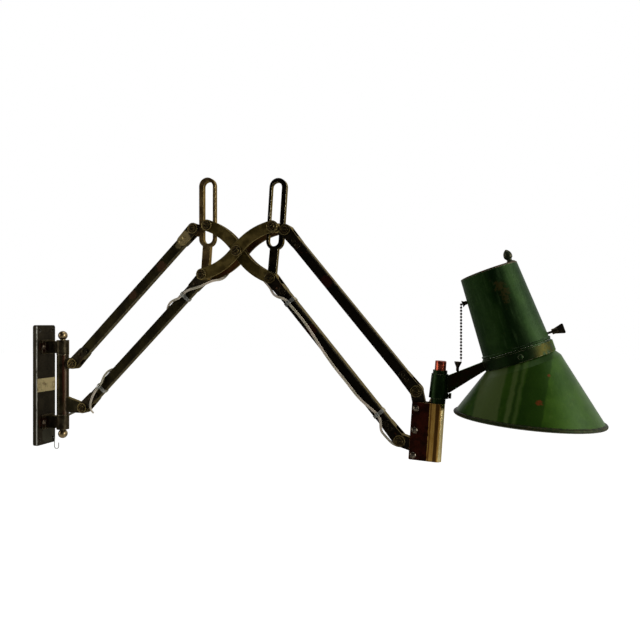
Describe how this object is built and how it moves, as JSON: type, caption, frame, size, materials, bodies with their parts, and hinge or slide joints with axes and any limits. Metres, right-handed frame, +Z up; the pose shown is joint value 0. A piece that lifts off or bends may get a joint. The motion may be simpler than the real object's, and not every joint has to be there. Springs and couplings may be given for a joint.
{
  "type": "articulating wall lamp",
  "caption": "Wall lamp on a swinging two-stage parallelogram arm with a pin-and-slot scissor in its middle, and a conical shade on a post.",
  "frame": {"origin": "centre of the wall plate's back face, on the wall", "axes": "+X out of the wall, along the arm; +Z up; the arm's pins lie along Y"},
  "size_m": [0.8357, 0.19, 0.4206],
  "materials": {
    "olive_paint": "worn olive paint over iron",
    "bare_brass": "worn brass",
    "brass_balls": "turned brass",
    "dark_iron": "darkened iron",
    "bolt_steel": "stained steel",
    "left_bar_bronze": "patinated",
    "right_bar_brown": "dark brown",
    "scissor_bronze": "patinated with bright edges",
    "link_bronze": "patinated",
    "strap_brown": "mahogany brown, polished on the bend",
    "post_copper": "coppered steel",
    "collar_paint": "worn green over brown iron",
    "husk_green": "matte green",
    "shade_green": "gloss green enamel",
    "black_trim": "blackened",
    "holder_black": "moulded",
    "bulb_brass": "plain",
    "bulb_glass": "clear",
    "rubber_black": "matte",
    "clip_wire": "plain",
    "cord_cream": "twin flex, aged"
  },
  "bodies": {
    "wall": {"wall_plate": "olive_paint", "name_plate": "bare_brass", "name_plate_pins": "bare_brass", "upper_hinge_bracket": "olive_paint", "lower_hinge_bracket": "olive_paint", "bracket_screws": "bolt_steel", "hinge_pin": "brass_balls", "pin_ball_nut": "brass_balls", "hinge_washers": "bolt_steel", "cord_hook": "bolt_steel", "wall_grommet": "rubber_black", "cord_wall": "cord_cream"},
    "swivel": {"swivel": "olive_paint", "swivel_bolts": "bolt_steel"},
    "lower_left": {"lower_left_bar": "left_bar_bronze", "lower_left_forks": "dark_iron", "lower_left_clips": "clip_wire", "cord_lower_left": "cord_cream", "cord_elbow": "cord_cream"},
    "upper_left": {"upper_left_bar": "left_bar_bronze", "upper_left_forks": "dark_iron"},
    "left_link": {"left_link": "link_bronze", "left_link_bolts": "bolt_steel"},
    "rising": {"rising_bar_plates": "scissor_bronze", "rising_slide_pin": "bolt_steel", "centre_bolt": "bolt_steel", "cord_knee": "cord_cream"},
    "falling": {"falling_bar_plates": "scissor_bronze", "falling_bar_spacer": "bolt_steel", "falling_slide_pin": "bolt_steel"},
    "right_link": {"right_link": "link_bronze", "right_link_bolts": "bolt_steel"},
    "lower_right": {"lower_right_bar": "right_bar_brown", "lower_right_forks": "dark_iron", "lower_right_clips": "clip_wire", "cord_bow": "cord_cream"},
    "upper_right": {"upper_right_bar": "right_bar_brown", "upper_right_forks": "dark_iron"},
    "bracket": {"bracket_casting": "dark_iron", "bracket_bolts": "bolt_steel", "post_strap": "strap_brown", "strap_screws": "bare_brass", "post": "post_copper", "cord_post": "cord_cream"},
    "head": {"lamp_arm": "collar_paint", "head_screws": "bolt_steel", "husk": "husk_green", "husk_lid": "collar_paint", "lid_finial": "black_trim", "shade": "shade_green", "holder_plate": "bolt_steel", "lamp_holder": "holder_black", "bulb_cap": "bulb_brass", "bulb_glass": "bulb_glass", "chain_guide": "black_trim", "bead_chain": "black_trim", "chain_anchor": "black_trim", "cord_gland": "rubber_black", "cord_head": "cord_cream"},
    "key": {"turn_key": "black_trim"}
  },
  "joints": [
    {"name": "swing", "type": "hinge", "parent": "wall", "child": "swivel", "pos_m": [0.038, 0, 0], "axis": [0, 0, 1], "range_deg": [-80, 80], "deforming": ["cord_wall"]},
    {"name": "lower_lift", "type": "hinge", "parent": "swivel", "child": "lower_left", "pos_m": [0.0782, 0, -0.0342], "axis": [0, -1, 0], "range_deg": [-79.6, 35.4]},
    {"name": "upper_left_follow", "type": "hinge", "parent": "swivel", "child": "upper_left", "pos_m": [0.0602, 0, 0.0348], "axis": [0, -1, 0], "range_deg": [-79.6, 35.4]},
    {"name": "left_link_level", "type": "hinge", "parent": "lower_left", "child": "left_link", "pos_m": [0.28526, 0, 0.16999], "axis": [0, -1, 0], "range_deg": [-35.4, 79.6]},
    {"name": "reach", "type": "hinge", "parent": "left_link", "child": "rising", "pos_m": [0.28526, 0, 0.16999], "axis": [0, -1, 0], "range_deg": [-9.4, 33.1], "deforming": ["cord_elbow", "cord_knee"]},
    {"name": "scissor", "type": "hinge", "parent": "rising", "child": "falling", "pos_m": [0.3398, 0, 0.20289], "axis": [0, -1, 0], "range_deg": [-66.2, 18.8]},
    {"name": "right_link_level", "type": "hinge", "parent": "falling", "child": "right_link", "pos_m": [0.38952, 0, 0.16306], "axis": [0, -1, 0], "range_deg": [-9.4, 33.1]},
    {"name": "upper_lift", "type": "hinge", "parent": "right_link", "child": "lower_right", "pos_m": [0.38952, 0, 0.16306], "axis": [0, -1, 0], "range_deg": [-25.6, 90.4], "deforming": ["cord_post"]},
    {"name": "upper_right_follow", "type": "hinge", "parent": "right_link", "child": "upper_right", "pos_m": [0.41205, 0, 0.23072], "axis": [0, -1, 0], "range_deg": [-25.6, 90.4]},
    {"name": "bracket_level", "type": "hinge", "parent": "lower_right", "child": "bracket", "pos_m": [0.57488, 0, -0.061], "axis": [0, -1, 0], "range_deg": [-90.4, 25.6]},
    {"name": "head_swing", "type": "hinge", "parent": "bracket", "child": "head", "pos_m": [0.62207, 0, -0.06414], "axis": [0.0663, 0, 0.9978], "range_deg": [-95, 95]},
    {"name": "key_turn", "type": "hinge", "parent": "head", "child": "key", "pos_m": [0.72376, 0, 0.07112], "axis": [0.9464, 0, 0.3231], "continuous": true}
  ],
  "couplings": [
    {"joint": "upper_left_follow", "follows": "lower_lift", "ratio": 1},
    {"joint": "left_link_level", "follows": "lower_lift", "ratio": -1},
    {"joint": "scissor", "follows": "reach", "ratio": -2},
    {"joint": "right_link_level", "follows": "reach", "ratio": 1},
    {"joint": "upper_right_follow", "follows": "upper_lift", "ratio": 1},
    {"joint": "bracket_level", "follows": "upper_lift", "ratio": -1}
  ]
}
